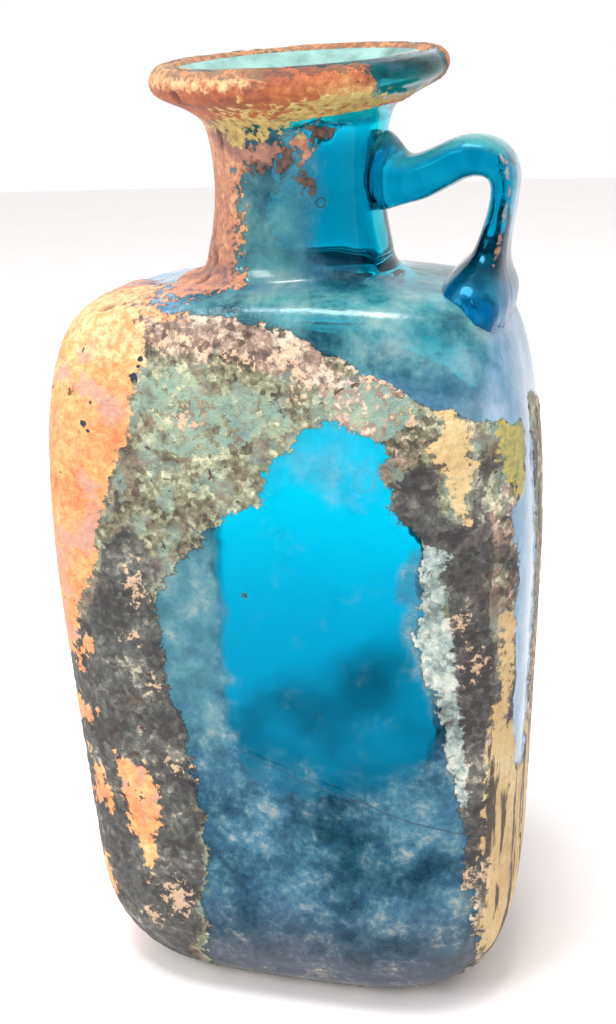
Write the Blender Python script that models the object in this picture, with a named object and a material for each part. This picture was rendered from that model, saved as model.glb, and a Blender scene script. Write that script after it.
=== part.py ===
"""A blown glass flask: a tall body, oblong in plan, with a domed shoulder, a round neck, a thick
collared mouth and one strap handle. It is hollow, open at the mouth, and stands on its underside.

Metres, +Z up. The origin is on the ground under the middle of the plan. The front is towards -Y,
and the handle is on the +X side."""

import math

import bmesh
import bpy
from mathutils import Matrix, Vector

# Heights, one above the other
WALL_HEIGHT = 0.0611
SHOULDER_RISE = 0.0329
NECK_LENGTH = 0.0169
FLARE_HEIGHT = 0.0071

# Plan of the body, from the neck's axis: the hot glass sagged, so the two sides differ
FOOT_LEFT = 0.0305
FOOT_RIGHT = 0.0263
FOOT_DEPTH = 0.0395
FOOT_SQUARENESS = 3.1
SHOULDER_LEFT = 0.0315
SHOULDER_RIGHT = 0.0286
SHOULDER_DEPTH = 0.0384
SHOULDER_SQUARENESS = 4.8

# Rounding between the walls and the underside, the push-up in the middle of the underside,
# and the level band around it, as a share of the way in from the rounding
FOOT_ROUND_IN = 0.0083
FOOT_ROUND_UP = 0.0155
PUSH_UP = 0.0012
REST_BAND = 0.38

# The shoulder's arc, as the two powers of its curve, the peak that it rises to at the neck,
# how late it rises, and the fillet there, which meets the shoulder at a slope
SHOULDER_FULLNESS = 6.3
SHOULDER_DROP = 2.0
SHOULDER_PEAK = 0.0019
PEAK_POWER = 3
NECK_FILLET = 0.0024
FILLET_SLOPE = math.radians(35)

# Neck and mouth
NECK_RADIUS_LOW = 0.0112
NECK_RADIUS_WAIST = 0.0101
NECK_RADIUS_HIGH = 0.0109
NECK_LEAN = 0.0007
MOUTH_RADIUS = 0.01725
MOUTH_TILT = math.radians(4.8)
LIP_RADIUS = 0.0019
LIP_START = math.radians(-66)
LIP_END = math.radians(144)
COLLAR_BEND_OUT = 0.0006
COLLAR_BEND_UP = 0.0017
DISH_DEPTH = 0.0030
DISH_BEND_OUT = 0.0010

# Thickness of the glass
BODY_WALL = 0.0022
SHOULDER_WALL = 0.0024
NECK_WALL = 0.0023
FLOOR = 0.0035

# Strap handle: its leg's reach from the neck's axis, its crest above the shoulder, the root's
# height as a share of that crest, the sizes of arch, leg and foot, the depth that its root runs
# into the neck before it is trimmed, and the trim's clearance
HANDLE_REACH = 0.0255
HANDLE_CREST = 0.0145
HANDLE_ROOT = 0.68
HANDLE_THICKNESS = 0.0044
HANDLE_WIDTH = 0.0100
HANDLE_SQUARENESS = 3.4
LEG_THICKNESS = 0.0028
FOOT_SPREAD = 0.0260
FOOT_THICKNESS = 0.0086
ROOT_DEPTH = 0.0040
WELD_GAP = 0.0003

# Thumb fold, where the strap was pressed on the neck and doubled back
FOLD_REACH = 0.0026
FOLD_WIDTH = 0.0082
FOLD_HEIGHT = 0.0064
FOLD_ABOVE_CREST = 0.0004

# Fineness of the meshes
AROUND = 64
CORNER_CROWDING = 0.4
EDGE_CROWDING = 1.5
ROUND_RINGS = 6
WALL_RINGS = 4
SHOULDER_RINGS = 10
FILLET_RINGS = 3
NECK_RINGS = 5
FLARE_RINGS = 5
LIP_RINGS = 6
INNER_ROUND_RINGS = 3
INNER_WALL_RINGS = 2
INNER_SHOULDER_RINGS = 6
INNER_NECK_RINGS = 3
DOME_STEPS = 2
STRAP_AROUND = 18
STRAP_STEPS = 3
FOLD_AROUND = 16
FOLD_RINGS = 10
SMOOTH_ANGLE = math.radians(50)

SHOULDER_TOP = WALL_HEIGHT + SHOULDER_RISE
FLARE_START = SHOULDER_TOP + NECK_LENGTH
MOUTH_HEIGHT = FLARE_START + FLARE_HEIGHT
LIP_HEIGHT = MOUTH_HEIGHT - LIP_RADIUS
CIRCLE = 2.0

BLUE_GLASS = (0.05, 0.36, 0.48, 1.0)
DEEP_GLASS = (0.02, 0.28, 0.42, 1.0)
CRUSTED_ROUGHNESS = 0.35
CLEAN_ROUGHNESS = 0.15
GLASS_IOR = 1.5


def mix(low, high, share):
    return low + (high - low) * share


def clamp(value):
    return min(max(value, 0.0), 1.0)


def quadratic(start, middle, end, share):
    """A point, or a number, on the curve that leaves start towards middle and arrives at end."""
    return mix(mix(start, middle, share), mix(middle, end, share), share)


def steps(count, first=0):
    """Shares from first / count to 1."""
    return [i / count for i in range(first, count + 1)]


def superellipse(turn, squareness):
    """The unit outline's point at a turn: a circle at squareness 2, squarer above it."""
    c, s = math.cos(turn), math.sin(turn)
    reach = (abs(c) ** squareness + abs(s) ** squareness) ** (-1 / squareness)
    return reach * c, reach * s


def neck_lean(height):
    """How far the neck has leaned towards the handle at a height."""
    return NECK_LEAN * clamp((height - SHOULDER_TOP) / (MOUTH_HEIGHT - SHOULDER_TOP))


class Ring:
    """One level of the vessel: half sizes from the neck's axis, and how square the plan is."""

    def __init__(self, height, left, right, depth, squareness=CIRCLE):
        self.height = height
        self.left = left
        self.right = right
        self.depth = depth
        self.squareness = squareness

    @classmethod
    def round(cls, height, radius):
        return cls(height, radius, radius, radius)

    def scaled(self, share, height):
        plan = (self.left * share, self.right * share, self.depth * share)
        return Ring(height, *plan, self.squareness)

    def points(self, axis_x):
        """The ring in space, with the neck's lean and the mouth's tilt, which grows up the neck."""
        up_neck = clamp((self.height - SHOULDER_TOP) / (FLARE_START - SHOULDER_TOP))
        slope = math.tan(MOUTH_TILT) * up_neck**2
        middle = axis_x + neck_lean(self.height)
        found = []
        for i in range(AROUND):
            turn = math.tau * i / AROUND
            turn += CORNER_CROWDING / 4 * math.sin(4 * turn)
            across, along_y = superellipse(turn, self.squareness)
            x = across * (self.right if across > 0 else self.left)
            y = along_y * self.depth
            found.append(Vector((middle + x, y, self.height + slope * y)))
        return found


def wall_ring(height, inset):
    """The body's plan at a height, drawn in by inset."""
    share = height / WALL_HEIGHT
    return Ring(
        height,
        mix(FOOT_LEFT, SHOULDER_LEFT, share) - inset,
        mix(FOOT_RIGHT, SHOULDER_RIGHT, share) - inset,
        mix(FOOT_DEPTH, SHOULDER_DEPTH, share) / 2 - inset,
        mix(FOOT_SQUARENESS, SHOULDER_SQUARENESS, share),
    )


def foot_rings(inset, floor, count):
    """The rounding from the underside, or the inner floor, up to the wall."""
    found = []
    for share in steps(count):
        turn = share * math.pi / 2
        ring = wall_ring(FOOT_ROUND_UP * (1 - math.cos(turn)), inset)
        drawn_in = FOOT_ROUND_IN * (1 - math.sin(turn))
        ring.left -= drawn_in
        ring.right -= drawn_in
        ring.depth -= drawn_in
        ring.height += floor * (1 - share)
        found.append(ring)
    return found


def wall_rings(inset, count):
    return [wall_ring(mix(FOOT_ROUND_UP, WALL_HEIGHT, share), inset) for share in steps(count, 1)]


def shoulder_rings(inset, crown, neck_radius_there, count):
    """The dome from the wall's top in to the fillet. crown lowers its top."""
    base = wall_ring(WALL_HEIGHT, inset)
    inner = neck_radius_there + NECK_FILLET * (1 - math.sin(FILLET_SLOPE))
    rise = SHOULDER_RISE - SHOULDER_PEAK - crown
    found = []
    for share in steps(count, 1):
        out = 1 - share**EDGE_CROWDING
        dome = (1 - out**SHOULDER_FULLNESS) ** (1 / SHOULDER_DROP)
        peak = SHOULDER_PEAK * share**PEAK_POWER
        found.append(
            Ring(
                WALL_HEIGHT + rise * dome + peak,
                mix(inner, base.left, out),
                mix(inner, base.right, out),
                mix(inner, base.depth, out),
                mix(CIRCLE, base.squareness, out),
            )
        )
    return found


def neck_radius(height):
    """Outer radius of the neck between its fillet and the flare."""
    low = SHOULDER_TOP + NECK_FILLET
    share = clamp((height - low) / (FLARE_START - low))
    middle = 2 * NECK_RADIUS_WAIST - (NECK_RADIUS_LOW + NECK_RADIUS_HIGH) / 2
    return quadratic(NECK_RADIUS_LOW, middle, NECK_RADIUS_HIGH, share)


def neck_rings(inset, crown, count):
    """The fillet, which starts lower by crown, and the neck up to where the flare starts."""
    flat = math.cos(FILLET_SLOPE)
    found = []
    for share in steps(FILLET_RINGS, 1)[:-1]:
        turn = mix(FILLET_SLOPE, math.pi / 2, share)
        radius = NECK_RADIUS_LOW - inset + NECK_FILLET * (1 - math.sin(turn))
        up = (flat - math.cos(turn)) / flat
        height = SHOULDER_TOP - crown + (NECK_FILLET + crown) * up
        found.append(Ring.round(height, radius))
    for share in steps(count):
        height = mix(SHOULDER_TOP + NECK_FILLET, FLARE_START, share)
        found.append(Ring.round(height, neck_radius(height) - inset))
    return found


def flare_rings(inset):
    """The underside of the mouth's collar, from the neck out to the lip."""
    lip = Vector((MOUTH_RADIUS - LIP_RADIUS, LIP_HEIGHT))
    edge = lip + LIP_RADIUS * Vector((math.cos(LIP_START), math.sin(LIP_START)))
    start = Vector((NECK_RADIUS_HIGH, FLARE_START))
    bend = start + Vector((COLLAR_BEND_OUT, COLLAR_BEND_UP))
    found = []
    for share in steps(FLARE_RINGS, 1)[:-1]:
        point = quadratic(start, bend, edge, share)
        found.append(Ring.round(point.y, point.x - inset))
    return found


def lip_rings():
    """The rounded lip, from its outer side over the top to the dish inside."""
    found = []
    for share in steps(LIP_RINGS):
        turn = mix(LIP_START, LIP_END, share)
        radius = MOUTH_RADIUS - LIP_RADIUS + LIP_RADIUS * math.cos(turn)
        found.append(Ring.round(LIP_HEIGHT + LIP_RADIUS * math.sin(turn), radius))
    return found


def dish_rings(bore):
    """The dish of the mouth, from the lip in and down to the bore of the neck."""
    last = lip_rings()[-1]
    edge = Vector((last.right, last.height))
    low = Vector((bore, FLARE_START))
    bend = Vector((bore + DISH_BEND_OUT, MOUTH_HEIGHT - DISH_DEPTH))
    found = []
    for share in steps(FLARE_RINGS, 1)[:-1]:
        point = quadratic(edge, bend, low, share)
        found.append(Ring.round(point.y, point.x))
    return found


def dome_rings(edge, spread, rise):
    """A shallow dome over part of the level ring edge, spread of the way out, from its middle."""
    found = []
    for share in steps(DOME_STEPS, 1):
        found.append(edge.scaled(spread * share, edge.height + rise * (1 - share**2)))
    return found


def outer_rings(grown=0.0):
    """Every level of the outside below the lip, drawn out by grown."""
    rings = foot_rings(-grown, 0.0, ROUND_RINGS)
    rings += wall_rings(-grown, WALL_RINGS)
    rings += shoulder_rings(-grown, -grown, NECK_RADIUS_LOW + grown, SHOULDER_RINGS)
    rings += neck_rings(-grown, -grown, NECK_RINGS)
    return rings + flare_rings(-grown)


def inner_rings():
    """Every level of the hollow, from its floor up to the mouth's dish."""
    rings = foot_rings(BODY_WALL, FLOOR, INNER_ROUND_RINGS)
    rings += wall_rings(BODY_WALL, INNER_WALL_RINGS)
    bore = NECK_RADIUS_LOW - NECK_WALL
    rings += shoulder_rings(BODY_WALL, SHOULDER_WALL, bore, INNER_SHOULDER_RINGS)
    rings += neck_rings(NECK_WALL, SHOULDER_WALL, INNER_NECK_RINGS)
    return rings + list(reversed(dish_rings(NECK_RADIUS_HIGH - NECK_WALL)))


def neck_axis_x():
    """The neck's axis, so that the plan's widest points lie evenly about the origin."""
    rings = outer_rings()
    return (max(ring.left for ring in rings) - max(ring.right for ring in rings)) / 2


def skin(name, loops, start=None, end=None):
    """A closed mesh through loops of points, each end closed on a point or by a flat face."""
    mesh = bmesh.new()
    rows = [[mesh.verts.new(point) for point in loop] for loop in loops]
    count = len(rows[0])
    for low, high in zip(rows, rows[1:]):
        for i in range(count):
            j = (i + 1) % count
            mesh.faces.new((low[i], low[j], high[j], high[i]))
    for row, tip in ((rows[0], start), (rows[-1], end)):
        if tip is None:
            mesh.faces.new(row)
            continue
        centre = mesh.verts.new(tip)
        for i in range(count):
            mesh.faces.new((row[i], row[(i + 1) % count], centre))
    bmesh.ops.recalc_face_normals(mesh, faces=mesh.faces)
    return finished(name, mesh)


def finished(name, mesh):
    """The mesh as an object, shaded smooth but for its sharp edges."""
    data = bpy.data.meshes.new(name)
    mesh.to_mesh(data)
    mesh.free()
    data.shade_smooth()
    data.set_sharp_from_angle(angle=SMOOTH_ANGLE)
    thing = bpy.data.objects.new(name, data)
    bpy.context.scene.collection.objects.link(thing)
    return thing


def glass(name, colour, roughness):
    material = bpy.data.materials.new(name)
    material.use_nodes = True
    shader = material.node_tree.nodes["Principled BSDF"]
    shader.inputs["Base Color"].default_value = colour
    shader.inputs["Roughness"].default_value = roughness
    shader.inputs["Metallic"].default_value = 0.0
    shader.inputs["IOR"].default_value = GLASS_IOR
    return material


def make_vessel(axis_x):
    """Body, shoulder, neck and mouth, blown as one bubble of glass."""
    outside = outer_rings()
    inside = inner_rings()
    floor = inside[0]
    under = dome_rings(outside[0], 1 - REST_BAND, PUSH_UP)
    over = dome_rings(floor, 1.0, PUSH_UP)[:-1]
    rings = under + outside + lip_rings() + list(reversed(over + inside))
    loops = [ring.points(axis_x) for ring in rings]
    start = Vector((axis_x, 0, PUSH_UP))
    end = Vector((axis_x, 0, floor.height + PUSH_UP))
    vessel = skin("vessel", loops, start, end)
    vessel.data.materials.append(glass("weathered blue glass", BLUE_GLASS, CRUSTED_ROUGHNESS))
    return vessel


def make_envelope(axis_x):
    """The vessel's outside grown by the weld gap, and solid. It trims the handle's ends."""
    rings = outer_rings(WELD_GAP)
    rings[0].height = -WELD_GAP
    envelope = skin("envelope", [ring.points(axis_x) for ring in rings])
    as_guide(envelope)
    return envelope


def as_guide(thing):
    thing.hide_render = True
    thing.display_type = "WIRE"


def strap_stations(axis_x):
    """The strap's path from neck to shoulder: x, z, thickness and width at each turn of it.

    Its pose is in shares of its reach past the neck and of its crest above the shoulder."""
    neck = neck_radius(SHOULDER_TOP + HANDLE_CREST * HANDLE_ROOT)
    room = HANDLE_REACH - neck
    pose = (
        (-ROOT_DEPTH / room, HANDLE_ROOT, HANDLE_THICKNESS * 1.25, HANDLE_WIDTH * 0.86),
        (0.20, HANDLE_ROOT, HANDLE_THICKNESS * 1.14, HANDLE_WIDTH * 0.86),
        (0.43, 0.76, HANDLE_THICKNESS * 1.05, HANDLE_WIDTH * 0.92),
        (0.64, 0.85, HANDLE_THICKNESS, HANDLE_WIDTH * 0.97),
        (0.82, 0.82, HANDLE_THICKNESS * 0.9, HANDLE_WIDTH),
        (0.905, 0.70, HANDLE_THICKNESS * 0.7, HANDLE_WIDTH * 1.04),
        (0.905, 0.555, LEG_THICKNESS * 0.94, HANDLE_WIDTH * 1.08),
        (0.875, 0.38, LEG_THICKNESS, HANDLE_WIDTH * 1.1),
        (0.835, 0.21, LEG_THICKNESS * 1.15, HANDLE_WIDTH * 1.15),
        (0.80, 0.06, FOOT_THICKNESS * 0.48, mix(HANDLE_WIDTH, FOOT_SPREAD, 0.28)),
        (0.755, -0.08, FOOT_THICKNESS * 0.8, mix(HANDLE_WIDTH, FOOT_SPREAD, 0.7)),
        (0.735, -0.24, FOOT_THICKNESS * 0.93, mix(HANDLE_WIDTH, FOOT_SPREAD, 0.96)),
        (0.73, -0.44, FOOT_THICKNESS, FOOT_SPREAD),
        (0.70, -0.68, FOOT_THICKNESS * 0.9, FOOT_SPREAD),
    )
    return [
        Vector((axis_x + neck + out * room, SHOULDER_TOP + up * HANDLE_CREST, thick, wide))
        for out, up, thick, wide in pose
    ]


def along(points, count):
    """A smooth curve through the points, count steps to each span."""
    padded = [points[0] * 2 - points[1]] + points + [points[-1] * 2 - points[-2]]
    found = []
    for a, b, c, d in zip(padded, padded[1:], padded[2:], padded[3:]):
        for i in range(count):
            t = i / count
            pull = (c - a) * t + (a * 2 - b * 5 + c * 4 - d) * t**2 + (b * 3 - a - c * 3 + d) * t**3
            found.append(b + pull / 2)
    return found + [points[-1]]


def strap_loops(stations):
    """Rounded oblong sections square to the path, each crowned on its faces."""
    loops = []
    for i, (x, z, thick, wide) in enumerate(stations):
        before = stations[max(i - 1, 0)]
        after = stations[min(i + 1, len(stations) - 1)]
        heading = Vector((after[0] - before[0], 0, after[1] - before[1])).normalized()
        outward = Vector((-heading.z, 0, heading.x))
        loop = []
        for j in range(STRAP_AROUND):
            across, through = superellipse(math.tau * j / STRAP_AROUND, HANDLE_SQUARENESS)
            side = Vector((0, across * wide / 2, 0))
            loop.append(Vector((x, 0, z)) + side + outward * (through * thick / 2))
        loops.append(loop)
    return loops


def make_fold(axis_x):
    """The lump of the thumb fold, standing on the strap's root against the neck."""
    mesh = bmesh.new()
    bmesh.ops.create_uvsphere(mesh, u_segments=FOLD_AROUND, v_segments=FOLD_RINGS, radius=1.0)
    shape = Matrix.Diagonal((FOLD_REACH, FOLD_WIDTH / 2, FOLD_HEIGHT / 2, 1.0))
    bmesh.ops.transform(mesh, matrix=shape, verts=mesh.verts)
    fold = finished("fold", mesh)
    height = SHOULDER_TOP + HANDLE_CREST + FOLD_ABOVE_CREST - FOLD_HEIGHT / 2
    fold.location = (axis_x + neck_radius(height) + neck_lean(height), 0, height)
    as_guide(fold)
    return fold


def add_boolean(thing, other, operation):
    change = thing.modifiers.new(f"{operation.lower()} {other.name}", "BOOLEAN")
    change.operation = operation
    change.solver = "EXACT"
    change.object = other


def make_handle(axis_x):
    """The trail of glass drawn from the neck's side out and down to the shoulder."""
    stations = along(strap_stations(axis_x), STRAP_STEPS)
    handle = skin("handle", strap_loops(stations))
    handle.data.materials.append(glass("deep blue glass", DEEP_GLASS, CLEAN_ROUGHNESS))
    add_boolean(handle, make_fold(axis_x), "UNION")
    add_boolean(handle, make_envelope(axis_x), "DIFFERENCE")
    return handle


def clear_scene():
    for thing in list(bpy.data.objects):
        bpy.data.objects.remove(thing, do_unlink=True)


def main():
    clear_scene()
    axis_x = neck_axis_x()
    make_vessel(axis_x)
    make_handle(axis_x)


main()
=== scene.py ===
import math

import bmesh
import bpy
import numpy as np
from mathutils import Matrix, Vector
from mathutils.bvhtree import BVHTree


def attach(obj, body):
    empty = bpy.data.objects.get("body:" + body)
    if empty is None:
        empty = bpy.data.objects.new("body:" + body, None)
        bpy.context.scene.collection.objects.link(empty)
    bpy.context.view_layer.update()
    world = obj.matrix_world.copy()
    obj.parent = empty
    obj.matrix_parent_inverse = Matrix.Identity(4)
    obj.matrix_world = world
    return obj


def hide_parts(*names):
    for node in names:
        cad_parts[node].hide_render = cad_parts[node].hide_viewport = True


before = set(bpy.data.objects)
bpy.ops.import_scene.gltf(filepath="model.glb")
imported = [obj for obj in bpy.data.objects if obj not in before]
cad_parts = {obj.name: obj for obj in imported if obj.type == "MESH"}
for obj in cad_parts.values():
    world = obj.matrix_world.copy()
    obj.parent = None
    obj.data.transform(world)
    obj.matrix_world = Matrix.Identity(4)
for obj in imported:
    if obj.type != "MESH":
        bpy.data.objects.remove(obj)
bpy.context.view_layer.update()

MM = 0.001

# Camera: its place and turns stand the flask as the photograph does
CAMERA_PLACE = (0.04047, -0.145728, 0.116036)
CAMERA_TURN = math.radians(15.282)
CAMERA_DOWN = math.radians(19.416)
CAMERA_ROLL = math.radians(2.752)
LENS = 43.95
SENSOR = 36.0
NEAREST_SEEN = 0.005

# Studio: each light's place, aim, size and power, the white surroundings, and the floor's half width
KEY = ((-0.40, -0.45, 0.50), (0, 0, 0.06), (0.28, 0.28), 2.3)
OVERHEAD = ((-0.04, -0.10, 0.55), (0, 0, 0.09), (0.20, 0.14), 2.4)
SURROUNDINGS = (1.0, 1.0, 1.0, 1.0)
SURROUNDINGS_POWER = 1.0
FLOOR_HALF = 1.2

# Meshes: outside edges over twice this length are cut up, the handle's voxel, and where corners merge
OUTSIDE_EDGE = 0.00085
HANDLE_VOXEL = 0.00032
MERGE = 1e-6

# Relief of the weathered surface, all of it cut in below the solid's outside, and the crack painted on it
CRUST_RISE = 0.00034
GRAIN_RISE = 0.00045
PIT_DEPTH = 0.0004
CRACK_WIDTH = 0.00016

# Weld of the handle: how far off it starts to flare, how far it flares and how deep it is let in
WELD_REACH = 0.0028
WELD_FLARE = 0.0015
WELD_SINK = 0.0019

# Smoothing of the handle's casting: its rounds, and the thickness given back for what it takes off
EASING_STEPS = 12
EASING_LOSS = 0.00012


def tone(red, green, blue):
    """A colour as the eye names it, 0 to 255, in the light values that a shader takes."""
    def light(part):
        part /= 255
        return part / 12.92 if part <= 0.04045 else ((part + 0.055) / 1.055) ** 2.4

    return light(red), light(green), light(blue), 1.0


# Glass: how strongly it bends light, and the tint of what it mirrors straight on
GLASS_IOR = 1.5
BLUE_GLEAM = tone(0, 160, 205)


def smooth_step(low, high, value):
    share = np.clip((value - low) / (high - low), 0.0, 1.0)
    return share * share * (3 - 2 * share)


def lattice(cells, seed):
    """A number from 0 to 1 for each whole-numbered cell, the same on every run."""
    number = cells[..., 0] * 374761393 + cells[..., 1] * 668265263 + cells[..., 2] * 2147483647
    number = (number + seed * 1274126177) & 0xFFFFFFFF
    number = ((number ^ (number >> 13)) * 1274126177) & 0xFFFFFFFF
    number = ((number ^ (number >> 16)) * 2246822519) & 0xFFFFFFFF
    return (number ^ (number >> 15)) / 0xFFFFFFFF


def mottle(points, size, octaves, seed):
    """Soft clouds from -1 to 1 through space, size across, with finer ones laid over them."""
    total = np.zeros(len(points))
    strength, whole = 1.0, 0.0
    for octave in range(octaves):
        scaled = points / (size / 2**octave) + 17.3 * octave
        base = np.floor(scaled).astype(np.int64)
        part = scaled - base
        part = part * part * (3 - 2 * part)
        value = np.zeros(len(points))
        for corner in range(8):
            offset = np.array([corner & 1, corner >> 1 & 1, corner >> 2 & 1])
            weight = np.prod(np.where(offset == 1, part, 1 - part), axis=1)
            value += weight * lattice(base + offset, seed + octave)
        total += strength * (2 * value - 1)
        whole += strength
        strength *= 0.55
    return total / whole


def inside_outline(across, up, outline):
    """Distance into a closed outline of (across, up) points, negative outside it."""
    best = np.full(len(across), 1e9)
    inside = np.zeros(len(across), dtype=bool)
    for (ax, ay), (bx, by) in zip(outline, outline[1:] + outline[:1]):
        ex, ey = bx - ax, by - ay
        px, py = across - ax, up - ay
        share = np.clip((px * ex + py * ey) / (ex * ex + ey * ey), 0.0, 1.0)
        best = np.minimum(best, np.hypot(px - share * ex, py - share * ey))
        crosses = (ay > up) != (by > up)
        height = np.where(by == ay, 1.0, by - ay)
        inside ^= crosses & (across < ex * (up - ay) / height + ax)
    return np.where(inside, best, -best)


def mixed(low, high, share):
    """From low to high as share runs from 0 to 1."""
    return low * (1 - share) + high * share


def blob(points, centre, radii):
    """1 in the middle of an egg-shaped patch, 0 on its edge, negative outside. In millimetres."""
    away = (points - np.array(centre)) / np.array(radii)
    return 1 - np.sqrt((away**2).sum(axis=1))


def merged(node):
    """The node's solid as a mesh whose faces share their corners again."""
    mesh = bmesh.new()
    mesh.from_mesh(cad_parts[node].data)
    bmesh.ops.remove_doubles(mesh, verts=mesh.verts, dist=MERGE)
    return mesh


def new_object(name, mesh):
    data = bpy.data.meshes.new(name)
    mesh.to_mesh(data)
    mesh.free()
    thing = bpy.data.objects.new(name, data)
    bpy.context.scene.collection.objects.link(thing)
    return thing


def settle(thing):
    """Puts the object's modifiers into its mesh."""
    shown = thing.evaluated_get(bpy.context.evaluated_depsgraph_get())
    data = bpy.data.meshes.new_from_object(shown)
    thing.modifiers.clear()
    old, thing.data = thing.data, data
    bpy.data.meshes.remove(old)


def coordinates(data, kind="co"):
    found = np.empty(len(data.vertices) * 3, dtype=np.float32)
    source = data.vertices if kind == "co" else data.vertex_normals
    source.foreach_get("co" if kind == "co" else "vector", found)
    return found.reshape(-1, 3).astype(float)


def set_field(data, name, values):
    made = data.attributes.new(name, "FLOAT", "POINT")
    made.data.foreach_set("value", values.astype(np.float32))


class Value:
    """A number that varies over a surface. Sums on it add Math nodes."""

    def __init__(self, paint, socket):
        self.paint = paint
        self.socket = socket

    def math(self, operation, *others):
        values = dict(enumerate((self, *others)))
        return self.paint.value("Math", {"operation": operation}, values)

    def __add__(self, other):
        return self.math("ADD", other)

    __radd__ = __add__

    def __mul__(self, other):
        return self.math("MULTIPLY", other)

    __rmul__ = __mul__

    def __sub__(self, other):
        return self.math("SUBTRACT", other)

    def __rsub__(self, other):
        return self * -1.0 + other

    def above(self, low, high):
        """0 before low, 1 past high, and a soft step between them. low may be the larger."""
        values = {"Value": self, "From Min": low, "From Max": high}
        return self.paint.value("MapRange", {"interpolation_type": "SMOOTHSTEP"}, values)

    def most(self, other):
        return self.math("MAXIMUM", other)


class Paint:
    """One material's nodes."""

    def __init__(self, name):
        self.material = bpy.data.materials.new(name)
        self.material.use_nodes = True
        self.tree = self.material.node_tree
        self.tree.nodes.clear()
        self.place = self.node("TexCoord").outputs["Object"]

    def node(self, kind, settings=None, values=None):
        """Any node: its settings are set first, and then its sockets' values or links."""
        made = self.tree.nodes.new("ShaderNode" + kind)
        for name, setting in (settings or {}).items():
            if name == "stops":
                self.set_stops(made.color_ramp.elements, setting)
            else:
                setattr(made, name, setting)
        for name, value in (values or {}).items():
            socket = made.inputs[name]
            if isinstance(value, Value):
                value = value.socket
            if isinstance(value, bpy.types.NodeSocket):
                self.tree.links.new(value, socket)
            else:
                socket.default_value = value
        return made

    def set_stops(self, elements, stops):
        for place, colour in stops[2:]:
            elements.new(place).color = colour
        for element, (place, colour) in zip(list(elements), stops):
            element.position = place
            element.color = colour

    def value(self, kind, settings=None, values=None, output=0):
        """The node's output as a number. Sums on it add Math nodes."""
        return Value(self, self.node(kind, settings, values).outputs[output])

    def field(self, name):
        """A number laid over the mesh beforehand."""
        return self.value("Attribute", {"attribute_name": name}, output="Fac")

    def clouds(self, size, detail, roughness=0.55, warp=0.0, stretch=(1, 1, 1)):
        """Soft noise from 0 to 1, size across."""
        where = self.place
        if stretch != (1, 1, 1):
            where = self.node("VectorMath", {"operation": "MULTIPLY"}, {0: where, 1: stretch}).outputs[0]
        values = {"Vector": where, "Scale": 1 / size, "Detail": detail, "Roughness": roughness,
                  "Distortion": warp}
        return self.value("TexNoise", None, values, "Fac")

    def grains(self, size, warp, output):
        """Cells like grains of sand, size across, their edges bent by warp."""
        noise = self.node("TexNoise", None, {"Vector": self.place, "Scale": 1 / (1.5 * size)})
        bent = self.node("VectorMath", {"operation": "MULTIPLY_ADD"}, {
            0: noise.outputs["Color"], 1: (warp,) * 3, 2: self.place,
        })
        return self.value("TexVoronoi", None, {"Vector": bent.outputs[0], "Scale": 1 / size}, output)

    def patch(self, name, speck, wear=0.9):
        """A laid patch with its edge worn ragged."""
        return (self.field(name) + (speck - 0.5) * wear).above(-0.03, 0.05)

    def distance(self, point):
        """How far off a point given in millimetres is, in metres."""
        values = {0: self.place, 1: [part * MM for part in point]}
        return self.value("VectorMath", {"operation": "DISTANCE"}, values, output=1)

    def spot(self, spot):
        """1 inside a small round spot of x, y, z and radius in millimetres."""
        radius = spot[3] * MM
        ragged = self.distance(spot[:3]) + (self.clouds(0.0006, 2) - 0.5) * (2.5 * radius)
        return ragged.above(1.15 * radius, 0.85 * radius)

    def strip(self, start, end, width):
        """1 along a thin wavering line that runs through two points of (x, z) in millimetres."""
        along = Vector(end) - Vector(start)
        across = Vector((-along.y, along.x)).normalized()
        values = {0: self.place, 1: (across.x, 0, across.y)}
        gap = self.value("VectorMath", {"operation": "DOT_PRODUCT"}, values, "Value")
        gap = gap - across.dot(Vector(start)) * MM + (self.clouds(0.005, 3) - 0.5) * 0.0014
        return gap.math("ABSOLUTE").above(width, 0.3 * width)

    def ring(self, spot):
        """1 on the rim of a small round spot of x, y, z and radius in millimetres."""
        radius = spot[3] * MM
        gap = self.distance(spot[:3]).math("SUBTRACT", radius).math("ABSOLUTE")
        return gap.above(0.22 * radius, 0.08 * radius)

    def ramp(self, stops, share):
        return self.node("ValToRGB", {"stops": stops}, {0: share}).outputs["Color"]

    def blend(self, low, high, share):
        """A colour from low to high. Each is a colour or a socket."""
        return self.node("Mix", {"data_type": "RGBA"}, {0: share, 6: low, 7: high}).outputs[2]

    def bump(self, height, distance, strength):
        values = {"Height": height, "Distance": distance, "Strength": strength}
        return self.node("Bump", None, values).outputs["Normal"]

    def shader(self, values):
        return self.node("BsdfPrincipled", None, values).outputs[0]

    def finish(self, shader):
        self.node("OutputMaterial", None, {"Surface": shader})
        return self.material

    def over(self, share, below, above):
        """The shader above shows through share of the surface, over below."""
        return self.node("MixShader", None, {0: share, 1: below, 2: above}).outputs[0]


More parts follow.
